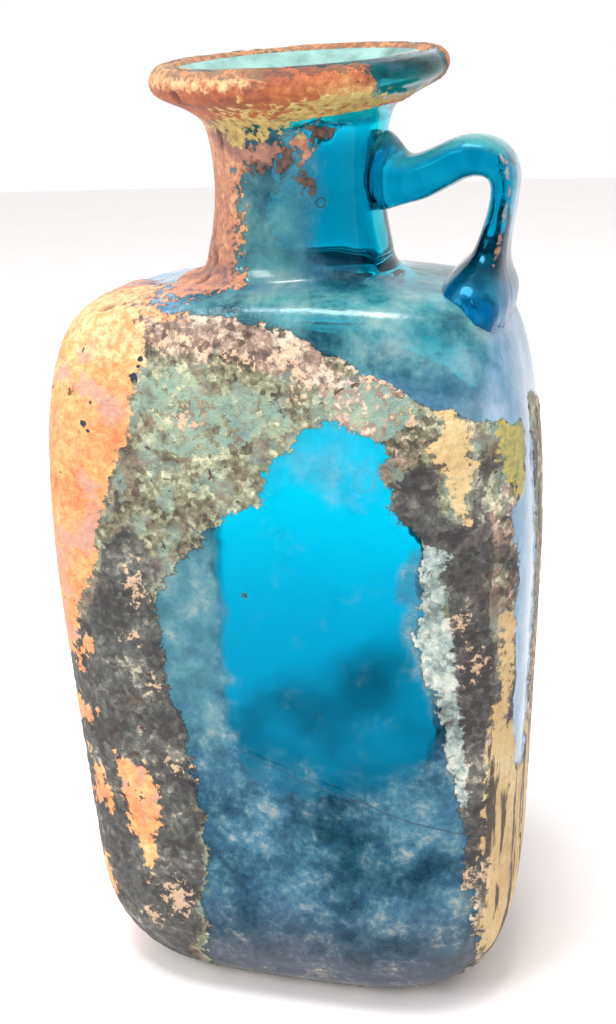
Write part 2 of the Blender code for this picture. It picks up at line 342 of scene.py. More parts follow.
# Outlines on the front and back faces, as (x, z) in millimetres
BARE_FRONT = [
    (4.5, 78.3), (8.3, 79.7), (12.5, 79.0), (14.5, 76.6), (14.5, 73.5), (15.8, 70.2), (18.3, 67.0),
    (18.1, 63.4), (17.7, 58.5), (17.9, 53.6), (18.8, 48.7), (20.1, 42.3), (21.6, 35.5), (22.8, 28.1),
    (23.9, 19.8), (24.0, 10.0), (21.0, 1.0), (-11.5, 1.0), (-10.4, 14.4), (-9.0, 22.3), (-9.9, 29.4),
    (-10.5, 37.8), (-11.9, 44.3), (-13.0, 50.8), (-13.6, 57.2), (-11.2, 61.4), (-6.9, 65.8),
    (-3.5, 68.1), (0.4, 70.6), (1.0, 74.0),
]
CLEAR_WINDOW = [
    (1.3, 77.3), (2.7, 79.4), (8.4, 81.3), (13.8, 79.6), (15.9, 75.5), (15.8, 71.8), (16.5, 68.2),
    (19.3, 67.0), (15.7, 64.1), (15.3, 59.9), (16.4, 53.9), (17.8, 48.5), (19.0, 40.0), (20.5, 24.0),
    (-5.5, 24.0), (-4.0, 36.3), (-4.9, 43.6), (-5.2, 54.4), (-6.6, 64.6), (-6.2, 67.8), (-0.4, 70.7),
    (0.4, 72.4), (-0.5, 74.2),
]
BACK_BARE = [
    (-15.5, 66.0), (-6.0, 75.0), (3.0, 77.0), (11.0, 72.0), (15.0, 56.0), (16.0, 40.0), (16.5, 22.0),
    (10.0, 9.0), (-3.0, 7.0), (-14.0, 8.0), (-21.5, 20.0), (-23.0, 40.0), (-21.5, 54.0),
]
ORANGE_SIDE = [
    (-45.0, 99.0), (-13.5, 92.3), (-12.7, 86.5), (-13.4, 82.0), (-15.2, 76.5), (-18.3, 71.3),
    (-20.4, 64.8), (-21.2, 59.5), (-24.0, 56.0), (-26.0, 50.0), (-45.0, 46.0),
]
ORANGE_LOW = [
    (-21.5, 36.0), (-16.5, 35.0), (-14.9, 31.5), (-14.7, 27.5), (-16.2, 24.5), (-15.9, 20.5),
    (-18.6, 17.6), (-20.1, 23.3),
]
CREAM_TOP = [(-27.0, 89.5), (-19.0, 93.5), (-11.5, 91.5), (-12.2, 87.0), (-17.0, 86.2), (-21.0, 88.0)]
CREAM_DRIP = [
    (19.2, 83.6), (21.7, 83.8), (22.3, 81.4), (24.3, 81.0), (23.5, 79.2), (24.9, 77.5), (24.4, 73.1),
    (23.4, 69.0), (22.2, 70.8), (21.0, 75.2), (19.0, 76.6), (20.6, 79.2), (20.0, 81.0),
]
CREAM_FOOT = [
    (25.0, 34.0), (27.0, 42.0), (31.0, 42.0), (31.0, 5.0), (26.5, 4.0), (24.2, 8.0), (25.4, 20.0),
]
PALE_STRIP = [
    (17.6, 66.0), (20.4, 66.0), (20.8, 58.0), (21.6, 50.0), (22.4, 44.0), (23.2, 38.0), (22.8, 32.0),
    (20.2, 34.0), (18.8, 44.0), (17.8, 52.0),
]
CHAR_RIGHT = [
    (16.0, 73.5), (19.5, 76.0), (21.0, 71.0), (23.2, 68.0), (25.0, 76.0), (23.8, 84.0), (30.0, 84.0),
    (30.0, 14.0), (25.2, 14.0), (22.6, 30.0), (21.4, 46.0), (20.6, 60.0), (18.8, 66.5), (15.5, 69.0),
]
CHAR_LEFT = [
    (-15.0, 66.5), (-12.4, 61.0), (-13.4, 57.0), (-12.6, 50.0), (-11.5, 44.0), (-8.5, 37.5),
    (-10.3, 29.5), (-9.4, 22.0), (-11.0, 14.0), (-14.0, 3.0), (-32.0, 3.0), (-32.0, 52.0),
    (-23.0, 54.0), (-20.6, 60.0), (-19.6, 65.0),
]
SAGE_LEFT = [
    (-12.8, 84.5), (-8.5, 86.0), (-6.0, 83.0), (2.0, 83.0), (4.6, 79.6), (1.0, 77.4), (-4.0, 76.4),
    (-9.5, 75.5), (-12.5, 77.5),
]
SAGE_RIGHT = [
    (8.0, 83.6), (13.0, 84.4), (18.6, 83.2), (17.5, 78.6), (14.8, 77.4), (11.0, 79.2), (8.6, 80.6),
]

# Pale flecks on the front, as (x, z) in millimetres with their half widths and half heights
CREAM_SPOTS = [
    (3.9, 87.0, 1.3, 1.2), (5.1, 84.9, 1.0, 1.7), (-0.4, 86.6, 1.2, 0.6), (-4.6, 87.3, 1.5, 0.7),
    (-9.6, 88.6, 1.8, 0.9), (-8.0, 79.6, 0.9, 0.8), (13.2, 84.8, 0.9, 0.5), (17.4, 80.2, 0.9, 0.8),
    (-16.0, 59.6, 0.9, 1.9), (-17.4, 52.4, 0.8, 0.8), (-14.6, 46.5, 0.8, 0.7), (-12.6, 35.5, 1.1, 0.8),
    (-7.6, 34.3, 1.1, 0.6), (-14.2, 15.6, 1.8, 2.6), (-18.4, 11.5, 1.0, 1.2), (1.0, 13.0, 1.1, 0.6),
    (22.9, 57.0, 0.8, 1.0), (24.2, 51.0, 0.7, 1.2), (13.4, 15.4, 0.9, 1.1), (24.6, 22.0, 1.0, 1.4),
]

# Lines on the front face, as (x, z) in millimetres
CRACK = [(-2.4, 37.4), (4.1, 35.3), (10.4, 33.9), (16.6, 31.6), (22.6, 28.4)]
FILM_EDGE = [(17.6, 86.0), (18.8, 86.3), (20.2, 87.2), (22.2, 87.9), (23.6, 87.3)]

# Outlines on the right side, as (y, z) in millimetres, and streaks there with their half widths
CREAM_SIDE = [
    (-15.8, 57.0), (-13.2, 57.5), (-12.5, 50.0), (-12.3, 35.0), (-9.5, 33.0), (-6.0, 35.0), (-1.0, 37.0),
    (3.0, 26.0), (5.5, 17.0), (1.0, 10.0), (-4.0, 4.0), (-13.0, 5.0), (-14.4, 20.0), (-15.2, 40.0),
]
OLIVE_SIDE = [
    (-15.2, 79.5), (-13.4, 81.5), (-10.9, 80.0), (-9.9, 75.0), (-11.4, 70.8), (-13.8, 71.6),
    (-14.9, 75.0),
]
BARE_SIDE = [
    (-14.2, 70.0), (-10.5, 71.0), (-9.0, 76.0), (-10.0, 81.0), (-13.8, 82.5), (-15.5, 84.0),
    (-13.0, 90.5), (-4.0, 92.0), (-3.5, 78.0), (-2.6, 60.0), (-2.8, 40.0), (-5.5, 33.0),
    (-10.5, 34.5), (-12.2, 46.0), (-13.6, 56.0),
]
SIDE_STREAKS = [
    ([(-12.9, 62.0), (-12.2, 48.0), (-12.6, 32.0), (-12.0, 20.0)], 0.9),
    ([(-9.4, 36.0), (-9.0, 26.0)], 0.7),
    ([(-10.6, 17.0), (-10.2, 12.5)], 0.8),
    ([(-6.2, 31.0), (-6.6, 20.0)], 0.6),
]

# Blotches round the neck, as (x, z) in millimetres with their half widths and half heights
NECK_ORANGE = [(-3.2, 108.4, 2.3, 2.4), (0.4, 108.1, 1.5, 1.6), (4.2, 108.2, 1.2, 1.2)]
NECK_BROWN = [
    (2.2, 106.2, 1.1, 1.4), (6.6, 109.1, 1.3, 1.1), (4.8, 104.4, 0.8, 1.5), (-0.8, 106.6, 0.9, 0.7),
]

# Round marks, as x, y, z and radius in millimetres
NECK_PIT = (6.3, -8.94, 102.3, 0.55)
BUBBLE = (12.3, -18.9, 73.5, 1.25)
DARK_SPOTS = [
    (-2.1, -19.2, 59.0, 0.50), (-1.3, -19.2, 58.0, 0.26), (-13.0, -17.8, 86.6, 0.34),
    (-13.4, -17.9, 85.8, 0.28), (-14.0, -18.0, 84.5, 0.48), (-21.0, -17.6, 78.9, 0.42),
    (-20.4, -17.8, 78.1, 0.28),
]

# Lumps of crust at the neck's foot, as a centre and radii in millimetres
SHOULDER_LUMP = ((-8.5, -10.5, 93.8), (4.2, 4, 2.0))
ORANGE_LUMP = ((-10.5, -12.5, 92.6), (6, 5, 3.4))

# Where one part of the vessel gives way to the next, as (from, to) in millimetres
FRONT_FACE = (-3, -9)
BACK_FACE = (2, 8)
RIGHT_FACE = (24.0, 26.5)
RIGHT_FACE_TOP = (91, 88)
SHOULDER = (84, 86.5)
NECK = (93.0, 95.0)
RIM = (111.8, 112.8)
MOUTH_SLOPE = math.tan(math.radians(4.8))

# Heights above which the neck's crust, its orange, the mouth's film and the dish's crust take over
NECK_CRUST = 93.6
NECK_CLAY = 93.4
MOUTH_FILM = 111
DISH_CRUST = 117.2

# How far the edges of the patches wander, in long waves and in short ones
DRIFT = 1.5
TREMBLE = 0.9

# A patch's number is how far in a point lies, in units of this many millimetres. What is taken
# off it away from the patch's own face keeps the ragged edge from reaching there
PATCH_UNIT = 4.0
OUTSIDE = 4


def nearest(across, up, line):
    """Distance from each point to a line of points."""
    best = np.full(len(across), 1e9)
    for (ax, ay), (bx, by) in zip(line, line[1:]):
        ex, ey = bx - ax, by - ay
        share = np.clip(((across - ax) * ex + (up - ay) * ey) / (ex * ex + ey * ey), 0.0, 1.0)
        best = np.minimum(best, np.hypot(across - ax - share * ex, up - ay - share * ey))
    return best


def spots(across, up, patches):
    """How far in a point lies in the nearest of some oval patches."""
    best = np.full(len(across), -9.0)
    for x, z, wide, high in patches:
        inside = 1 - np.hypot((across - x) / wide, (up - z) / high)
        best = np.maximum(best, inside * min(wide, high))
    return best


class Survey:
    """Points on the vessel in millimetres, copies that wander for ragged edges, and what lies where."""

    def __init__(self, points, inner):
        drift = np.stack([mottle(points, 7, 3, seed) for seed in (3, 5, 7)], axis=1)
        tremble = np.stack([mottle(points, 2.4, 2, seed) for seed in (41, 43, 47)], axis=1)
        self.points = points
        self.inner = inner
        self.x, self.y, self.z = points.T
        self.wx, self.wy, self.wz = (points + DRIFT * drift + TREMBLE * tremble).T
        self.tremble = tremble[:, 0]
        self.big = mottle(points, 16, 4, 11)
        self.medium = mottle(points, 8, 3, 37)
        self.fine = mottle(points, 4.5, 4, 13)
        self.level = self.z - MOUTH_SLOPE * self.y
        self.front = smooth_step(*FRONT_FACE, self.y)
        self.back = smooth_step(*BACK_FACE, self.y)
        self.right = smooth_step(*RIGHT_FACE, self.x + 0.8 * drift[:, 1])
        self.right *= smooth_step(*RIGHT_FACE_TOP, self.z)
        self.neck = smooth_step(*NECK, self.z)
        self.shoulder = smooth_step(*SHOULDER, self.wz) * (1 - self.neck)
        self.rim = smooth_step(*RIM, self.level)
        self.bare_back = inside_outline(self.wx, self.wz, BACK_BARE)
        front_body = self.front * (1 - self.shoulder) * (1 - self.neck)
        self.beside_window = smooth_step(-4.5, -6.5, self.wx) * smooth_step(36, 42, self.wz) * front_body
        self.above_window = smooth_step(67, 75, self.wz) * front_body

    def on_front(self, *outlines):
        """How far in a point lies in the nearest of some outlines on the front face."""
        depths = [inside_outline(self.wx, self.wz, outline) for outline in outlines]
        return np.max(depths, axis=0) - OUTSIDE * (1 - self.front)


def crust_line(at):
    """The height of the crust's upper edge, which falls away to the right."""
    fall = 0.17 * np.maximum(at.wx + 4, 0) ** 1.25
    return 91.2 - fall + 1.2 * at.big + 1.8 * smooth_step(-6, -14, at.x)


def crust_cover(at):
    """How far in each point lies under crust: on the body, then the neck, the rim and the inside."""
    bare_front = inside_outline(at.wx, at.wz, BARE_FRONT)
    ends = (1 - at.front - at.back) * (4 + 7 * at.big)
    crust = at.front * -bare_front + at.back * (3 * at.medium - at.bare_back) + ends
    crust = np.minimum(crust, 1.4 * (crust_line(at) - at.wz) - 2.5 * at.back)
    bare_side = inside_outline(at.wy, at.wz, BARE_SIDE)
    crust = mixed(crust, np.minimum(crust, -bare_side), at.right)
    crust = np.maximum(crust, 3 * blob(at.points, *SHOULDER_LUMP))

    left_third = -3.4 - at.wx + 2.0 * at.fine - 1.5 * at.back
    collar = np.minimum(at.wz - 109.0 - 0.25 * np.abs(at.wx + 1), 5.5 - at.wx) + at.fine
    blotches = 2 * spots(at.wx, at.wz, NECK_ORANGE + NECK_BROWN) - 9 * (1 - at.front)
    on_neck = np.maximum.reduce([left_third, collar, blotches])
    crust = np.where(at.z > NECK_CRUST, np.maximum(on_neck, np.minimum(crust, 3)), crust)

    bare_end = smooth_step(8.5, 19.0, at.wx + 1.5 * at.fine) * smooth_step(4, -6, at.y)
    on_rim = np.maximum(3 + 2.5 * at.fine - 8 * bare_end, 1.5 * (114.2 - at.level) + at.fine)
    on_rim -= 6 * smooth_step(117.6, 118.1, at.level)
    crust = mixed(crust, on_rim, at.rim)

    on_floor = -4 + 4.6 * smooth_step(13, 6, at.z) * (1 + 0.4 * at.fine)
    crust = np.where(at.inner, on_floor, crust)
    return np.where(at.inner & (at.level > DISH_CRUST), 1.5 + 3 * at.fine, crust)


def crust_kinds(at):
    """How far in each point lies in the patches of each kind of crust."""
    left_edge = 5 * (at.fine - 0.12) - 4 * smooth_step(-23.5, -21, at.x) - 4 * smooth_step(54, 62, at.z)
    orange = np.maximum.reduce([
        inside_outline(at.wx, at.wz, ORANGE_SIDE) - 6 * at.back,
        at.on_front(ORANGE_LOW),
        3 * blob(at.points, *ORANGE_LUMP),
        7 * (at.big - 0.25) - OUTSIDE * (1 - at.back),
        left_edge,
    ])
    cream = at.on_front(CREAM_DRIP, CREAM_FOOT) + at.fine
    char = at.on_front(CHAR_RIGHT, CHAR_LEFT) + at.fine
    streaks = np.max([width - nearest(at.wy, at.wz, line) for line, width in SIDE_STREAKS], axis=0)
    side_cream = np.minimum(inside_outline(at.wy, at.wz, CREAM_SIDE), -streaks) + 1.5 * at.fine
    crest = np.abs(crust_line(at) - 1.8 - at.wz)
    yellow = np.maximum(1.6 - np.abs(at.level - 111.4), 0.5 - np.abs(at.level - 113.6 - 0.5 * at.fine))
    yellow += 1.6 * at.fine - 1.5 * smooth_step(-2, -7, at.x) - 3 * smooth_step(-2, 3, at.y)
    return {
        "orange": np.where(at.z > NECK_CLAY, 2.0 + 2.2 * at.fine, orange),
        "cream": mixed(cream, np.maximum(cream, side_cream), at.right),
        "olive": inside_outline(at.wy, at.wz, OLIVE_SIDE) - OUTSIDE * (1 - at.right),
        "char": mixed(char, np.maximum(streaks, 3 * at.medium - 0.6), at.right),
        "brown": 2.5 * spots(at.wx, at.wz, NECK_BROWN) - OUTSIDE * (1 - at.front * at.neck),
        "sage": at.on_front(SAGE_LEFT, SAGE_RIGHT) + 1.5 * at.tremble,
        "pale": at.on_front(PALE_STRIP),
        "mauve": (2.6 - crest) * smooth_step(12, 4, at.x) + 1.5 * at.fine,
        "yellow": np.where(at.z > 100, yellow, -OUTSIDE),
        "flecks": spots(at.x, at.z, CREAM_SPOTS) - OUTSIDE * (1 - at.front),
    }


def film_cover(at):
    """How thick the film lies over bare glass, 0 or less where the glass is clear."""
    window = inside_outline(at.wx, at.wz, CLEAR_WINDOW)
    low = smooth_step(44, 33, at.wz - 3 * at.medium)
    before = mixed(-0.5 + 1.1 * smooth_step(1.0, -0.8, window), 0.55 + 0.5 * at.medium, low)
    before += 0.3 * smooth_step(13, 5, at.z)
    behind = 0.1 + 0.5 * at.big - 0.6 * smooth_step(-1, 1, at.bare_back)
    behind += 0.9 * smooth_step(47, 33, at.z + 0.6 * np.clip(6 - at.x, 0, 24) + 2 * at.medium)
    film = mixed(behind, before, at.front)
    film = np.where(at.right > 0.5, 0.95, film)
    on_shoulder = 0.66 + 0.3 * at.medium + 0.25 * smooth_step(-4, -12, at.x)
    film = mixed(film, on_shoulder, at.shoulder)
    on_neck = 0.7 + 0.3 * at.medium - 0.85 * smooth_step(3.0, 9.5, at.wx)
    on_neck = mixed(-0.4, on_neck + 0.5 * smooth_step(97.5, 95.0, at.z), at.front)
    film = mixed(film, on_neck, at.neck)
    film = np.where(at.inner, -0.5 + 0.6 * smooth_step(36, 10, at.z) * (0.7 + 0.5 * at.big), film)
    on_mouth = np.where(at.inner, 0.55 + 0.3 * at.fine, 0.2 + 0.4 * at.fine)
    film = np.where(at.level > MOUTH_FILM, on_mouth, film)
    return np.maximum.reduce([film, 0.8 * at.beside_window, 0.25 * at.above_window])


def film_tones(at):
    """How far the film and the glass take each of their tones, from 0 to 1."""
    ends = np.maximum(smooth_step(-6, -13, at.x), 0.4 * smooth_step(9, 22, at.x))
    lilac = np.maximum(at.right, at.shoulder * ends)
    lilac *= 1 - smooth_step(80, 92, at.z) * smooth_step(0, 4, at.x) * (1 - at.right)
    lilac = np.maximum.reduce([lilac, 0.7 * at.rim * smooth_step(6, 12, at.x), 0.45 * at.above_window])
    murk = np.maximum(at.shoulder * (1 - lilac), at.neck * smooth_step(6, 2, at.x))
    murk = np.maximum(murk * (0.75 + 0.5 * at.medium), 0.4 * at.beside_window)
    # Painted shade: the clear glass is tinted darker towards the bottom of the window, standing in for
    # the shadowed floor seen through it. On the neck the glass is tinted darker below the rim.
    deep = np.maximum(0.75 * smooth_step(74, 38, at.z), 0.6 * at.neck * smooth_step(111, 107, at.z))
    dusk = smooth_step(-1, 1, at.bare_back) * (1 - at.front) * (1 - at.neck)
    calm = [0.9 * dusk, 0.5 * at.beside_window, 0.5 * at.above_window, 0.4 * at.neck]
    return {
        "lilac": lilac,
        "murk": np.clip(murk, 0, 1),
        "green": smooth_step(111, 113, at.level) * at.inner,
        "deep": deep,
        "dusk": dusk,
        "calm": np.maximum.reduce(calm),
        # Darker towards the bottom of the body.
        "ash": smooth_step(20, 8, at.z - 3 * at.medium),
    }


def crust_tones(at):
    """How far the crust takes each of its tones, and where the thin lines run, from 0 to 1."""
    lip = at.rim * smooth_step(114.6, 116.6, at.level) * smooth_step(7, -1, at.x)
    pale_corner = smooth_step(-3.0, 1.5, inside_outline(at.wx, at.wz, CREAM_TOP)) * at.front
    return {
        "apricot": np.maximum(pale_corner, 0.8 * lip),
        "runs": smooth_step(23, 25.5, at.x) * smooth_step(60, 50, at.z),
        "rim": at.rim,
        "neck": smooth_step(90.5, 92.5, at.z),
        "singe": smooth_step(115.6, 117.4, at.level),
        "crack": np.clip(1 - nearest(at.x, at.z, CRACK) / 3, 0, 1) * at.front,
        "film_edge": np.clip(1 - nearest(at.x, at.z, FILM_EDGE) / 0.5, 0, 1) * at.front,
    }


def weathering(points, inner):
    """What covers the glass at each point, given in millimetres."""
    at = Survey(points, inner)
    patches = {"crust": crust_cover(at), **crust_kinds(at)}
    fields = {name: np.clip(depth / PATCH_UNIT, -1, 1) for name, depth in patches.items()}
    return {**fields, "film": film_cover(at), **film_tones(at), **crust_tones(at)}


def make_vessel():
    """The vessel as blown: the solid's form made round, with its weathered skin cut into it."""
    mesh = merged("vessel")
    bmesh.ops.join_triangles(
        mesh, faces=mesh.faces,
        angle_face_threshold=math.radians(40), angle_shape_threshold=math.radians(60),
    )
    vessel = new_object("vessel_glass", mesh)
    rounding = vessel.modifiers.new("rounding", "SUBSURF")
    rounding.levels = rounding.render_levels = 2
    settle(vessel)
    data = vessel.data
    split_long_edges(data, is_inner(coordinates(data), coordinates(data, "normal")))

    places = coordinates(data)
    normals = coordinates(data, "normal")
    inner = is_inner(places, normals)
    fields = weathering(places / MM, inner)
    cover = smooth_step(-0.08, 0.08, fields["crust"])
    smoother = [fields[name] for name in ("orange", "cream", "sage", "olive")]
    even = smooth_step(0, 0.15, np.max(smoother, axis=0))
    grain = np.abs(mottle(places / MM, 1.9, 2, 29))
    pits = smooth_step(0.5, 0.7, mottle(places / MM, 2.6, 2, 31)) * cover
    cut = CRUST_RISE * (1 - cover) + GRAIN_RISE * grain * cover * (1 - 0.7 * even) + PIT_DEPTH * pits
    cut[inner] = 0.0
    places -= normals * cut[:, None]
    data.vertices.foreach_set("co", places.astype(np.float32).ravel())
    fields["pits"] = pits
    for name, values in fields.items():
        set_field(data, name, values)
    data.shade_smooth()
    return vessel


def split_long_edges(data, inner):
    """Cuts the outside's long edges, so that its faces are small enough to carry the relief."""
    mesh = bmesh.new()
    mesh.from_mesh(data)
    mesh.verts.ensure_lookup_table()
    long_edges = [
        edge for edge in mesh.edges
        if edge.calc_length() > 2 * OUTSIDE_EDGE and not any(inner[corner.index] for corner in edge.verts)
    ]
    bmesh.ops.subdivide_edges(mesh, edges=long_edges, cuts=3, use_grid_fill=True)
    mesh.to_mesh(data)
    mesh.free()


def is_inner(places, normals):
    """Which points belong to the hollow's own surface, from the mouth's dish down."""
    outward = places[:, :2] - np.array([axis_x(), 0.0])
    outward /= np.linalg.norm(outward, axis=1)[:, None] + 1e-9
    facing_in = (normals[:, :2] * outward).sum(axis=1) < -0.25
    height = places[:, 2] / MM
    floor = (normals[:, 2] > 0.3) & (height < 20)
    roof = (normals[:, 2] < -0.3) & (height > 60) & (height < 100)
    return facing_in | floor | roof


def axis_x():
    """The neck's axis, read from the middle of the mouth's rim."""
    places = coordinates(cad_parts["vessel"].data)
    top = places[places[:, 2] > places[:, 2].max() - 0.006]
    return (top[:, 0].min() + top[:, 0].max()) / 2


def make_handle():
    """The handle, cast round from its solid and let into the vessel's wall where it was fused on."""
    handle = new_object("handle_glass", merged("handle"))
    casting = handle.modifiers.new("casting", "REMESH")
    casting.mode = "VOXEL"
    casting.voxel_size = HANDLE_VOXEL
    ease(handle)
    weld(handle.data, BVHTree.FromBMesh(merged("vessel")))
    ease(handle)
    ease(handle)
    data = handle.data
    places = coordinates(data)
    z = places[:, 2] / MM
    shell = coordinates(data, "normal")
    outer_edge = smooth_step(0.1, 0.7, shell[:, 0]) * smooth_step(-0.2, -0.7, shell[:, 1])
    set_field(data, "outer_edge", outer_edge * smooth_step(92, 96, z) * smooth_step(108.5, 106, z))
    set_field(data, "foot", smooth_step(95, 90, z))
    set_field(data, "top", smooth_step(0.2, 0.8, shell[:, 2]) * smooth_step(100, 104, z))
    data.shade_smooth()
    return handle


def ease(thing):
    """Rounds off what the casting or the weld left rough."""
    easing = thing.modifiers.new("easing", "SMOOTH")
    easing.factor = 0.5
    easing.iterations = EASING_STEPS
    settle(thing)


def weld(data, wall):
    """Flares the casting where it comes near the wall, and lets its edge into it."""
    for corner, facing_out in zip(data.vertices, coordinates(data, "normal")):
        facing_out = Vector(facing_out)
        corner.co += facing_out * EASING_LOSS
        _, wall_out, _, gap = wall.find_nearest(corner.co)
        if gap < WELD_REACH:
            share = (1 - gap / WELD_REACH) ** 2
            sideways = facing_out - wall_out * wall_out.dot(facing_out)
            corner.co += (sideways * WELD_FLARE - wall_out * WELD_SINK) * share


def granular_crust(paint, speck, blotch):
    """Sandy olive-grey crust, grain by grain, with mint, cream and brown grains in it."""
    grains = paint.grains(0.0008, 0.0009, "Color")
    share = (grains - 0.5) * 0.55 + (blotch - 0.5) * 1.1 + (speck - 0.5) * 1.6 + 0.42
    clumps = (grains - 0.5) * 0.4 + (blotch - 0.5) * 1.7 + (speck - 0.5) * 1.1 + 0.36
    sand = paint.ramp([
        (0.05, tone(62, 56, 44)), (0.25, tone(104, 98, 78)), (0.45, tone(132, 132, 104)),
        (0.60, tone(158, 166, 140)), (0.76, tone(194, 194, 156)), (0.92, tone(232, 224, 188)),
    ], share)
    mint = paint.clouds(0.0032, 4, 0.6).above(0.50, 0.60)
    sand = paint.blend(sand, tone(126, 152, 142), mint * 0.6)
    warm = paint.clouds(0.0045, 4, 0.65, 0.5).above(0.52, 0.62)
    sand = paint.blend(sand, tone(128, 104, 92), warm * 0.55)
    pink = paint.ramp([
        (0.1, tone(94, 76, 66)), (0.4, tone(162, 130, 118)), (0.6, tone(208, 184, 166)),
        (0.9, tone(242, 232, 206)),
    ], share)
    sand = paint.blend(sand, pink, paint.patch("mauve", speck) * 0.8)
    coal = paint.ramp([
        (0.15, tone(36, 36, 40)), (0.45, tone(70, 70, 70)), (0.65, tone(108, 106, 100)),
        (0.92, tone(208, 198, 176)),
    ], clumps)
    sand = paint.blend(sand, coal, paint.patch("char", speck) * 0.9)
    chalk = paint.ramp([
        (0.1, tone(104, 120, 118)), (0.5, tone(164, 182, 176)), (0.9, tone(228, 228, 214)),
    ], share)
    return paint.blend(sand, chalk, paint.patch("pale", speck) * 0.9)


def orange_clay(paint, speck, blotch):
    """Orange crust on the body, pinkish on the neck, and terracotta with a pale lip on the rim."""
    clay = paint.ramp([
        (0.28, tone(206, 112, 66)), (0.45, tone(228, 146, 88)), (0.56, tone(238, 168, 106)),
        (0.72, tone(246, 204, 142)),
    ], blotch * 0.7 + speck * 0.85 - 0.27)
    rosy = paint.clouds(0.005, 4, 0.6, 0.6).above(0.50, 0.64)
    clay = paint.blend(clay, tone(190, 150, 140), rosy * 0.7)
    ashen = paint.ramp([
        (0.36, tone(104, 90, 98)), (0.44, tone(152, 110, 100)), (0.52, tone(194, 132, 102)),
        (0.60, tone(220, 164, 128)), (0.68, tone(232, 202, 172)),
    ], blotch * 0.5 + speck * 0.5)
    clay = paint.blend(clay, ashen, paint.field("neck") * 0.85)
    terracotta = paint.ramp([
        (0.34, tone(104, 66, 54)), (0.42, tone(160, 84, 50)), (0.50, tone(188, 106, 58)),
        (0.58, tone(212, 154, 92)), (0.68, tone(238, 204, 148)),
    ], paint.clouds(0.007, 5, 0.65, 0.4, (0.4, 0.4, 1.6)) * 0.65 + speck * 0.35)
    clay = paint.blend(clay, terracotta, paint.field("rim"))
    apricot = paint.blend(tone(216, 160, 108), tone(240, 204, 152), speck.above(0.42, 0.6))
    worn = (paint.field("apricot") + (speck - 0.5) * 1.8).above(0.4, 0.9)
    clay = paint.blend(clay, apricot, worn * 0.75)
    soot = (paint.field("singe") + (speck - 0.5) * 2.2).above(0.85, 1.05)
    return paint.blend(clay, tone(96, 62, 48), soot * 0.8)


def crust_colour(paint, speck, blotch):
    """The granular crust, and over it the smoother kinds: sage, orange, straw, mustard and umber."""
    colour = granular_crust(paint, speck, blotch)
    sage = paint.ramp([
        (0.3, tone(108, 138, 132)), (0.5, tone(140, 164, 146)), (0.7, tone(188, 196, 156)),
    ], blotch + (speck - 0.5) * 0.5)
    colour = paint.blend(colour, sage, paint.patch("sage", speck) * speck.above(0.54, 0.47))
    colour = paint.blend(colour, orange_clay(paint, speck, blotch), paint.patch("orange", speck, 1.3))
    straw = paint.ramp([
        (0.3, tone(182, 140, 90)), (0.5, tone(208, 178, 124)), (0.7, tone(230, 212, 168)),
    ], blotch * 0.6 + speck * 0.4)
    runs = paint.clouds(0.0022, 4, 0.6, 0.2, (1, 1, 0.1)).above(0.53, 0.58)
    straw = paint.blend(straw, tone(78, 66, 54), runs * paint.field("runs"))
    colour = paint.blend(colour, straw, paint.patch("cream", speck, 1.5))
    crumbs = (paint.field("flecks") + (speck - 0.5) * 2.6).above(0.0, 0.12)
    colour = paint.blend(colour, tone(226, 192, 156), crumbs * 0.75)
    mustard = paint.ramp([
        (0.38, tone(164, 144, 84)), (0.50, tone(208, 188, 108)), (0.62, tone(232, 216, 150)),
    ], blotch * 0.4 + speck * 0.6)
    colour = paint.blend(colour, mustard, paint.patch("yellow", speck, 1.8) * 0.8)
    olive = paint.blend(tone(150, 150, 88), tone(190, 176, 96), speck.above(0.4, 0.6))
    colour = paint.blend(colour, olive, paint.patch("olive", speck, 1.5))
    umber = paint.blend(tone(64, 46, 42), tone(124, 88, 74), speck.above(0.4, 0.65))
    colour = paint.blend(colour, umber, paint.patch("brown", speck, 2.4))
    specks = paint.clouds(0.0016, 3, 0.6, 0.4).above(0.66, 0.70) * blotch.above(0.42, 0.56)
    return paint.blend(colour, tone(78, 50, 42), specks.most(paint.field("pits") * 0.75))


def film_colour(paint, speck, blotch):
    """Teal and tan haze, murky on the shoulder and neck, lilac on the side and dark at the foot."""
    haze = paint.ramp([
        (0.40, tone(6, 72, 102)), (0.49, tone(20, 98, 128)), (0.55, tone(64, 120, 138)),
        (0.61, tone(124, 146, 148)), (0.69, tone(188, 180, 164)),
    ], blotch * 0.3 + paint.clouds(0.0032, 6, 0.75, 0.5) * 0.45 + speck * 0.25)
    murk = paint.ramp([
        (0.35, tone(32, 106, 116)), (0.5, tone(76, 142, 142)), (0.68, tone(136, 164, 154)),
    ], blotch)
    haze = paint.blend(haze, murk, paint.field("murk"))
    lilac = paint.ramp([
        (0.35, tone(60, 126, 158)), (0.5, tone(108, 152, 182)), (0.7, tone(162, 182, 204)),
    ], blotch)
    haze = paint.blend(haze, lilac, paint.field("lilac"))
    # Towards the bottom the film takes a darker ramp, with tan in it.
    ash = paint.ramp([
        (0.42, tone(14, 18, 36)), (0.50, tone(36, 42, 64)), (0.57, tone(72, 70, 80)),
        (0.66, tone(170, 154, 130)),
    ], blotch * 0.5 + speck * 0.5)
    haze = paint.blend(haze, ash, paint.field("ash") * 0.85)
    haze = paint.blend(haze, tone(0, 92, 124), paint.field("dusk") * 0.85)
    return paint.blend(haze, tone(146, 190, 182), paint.field("green"))


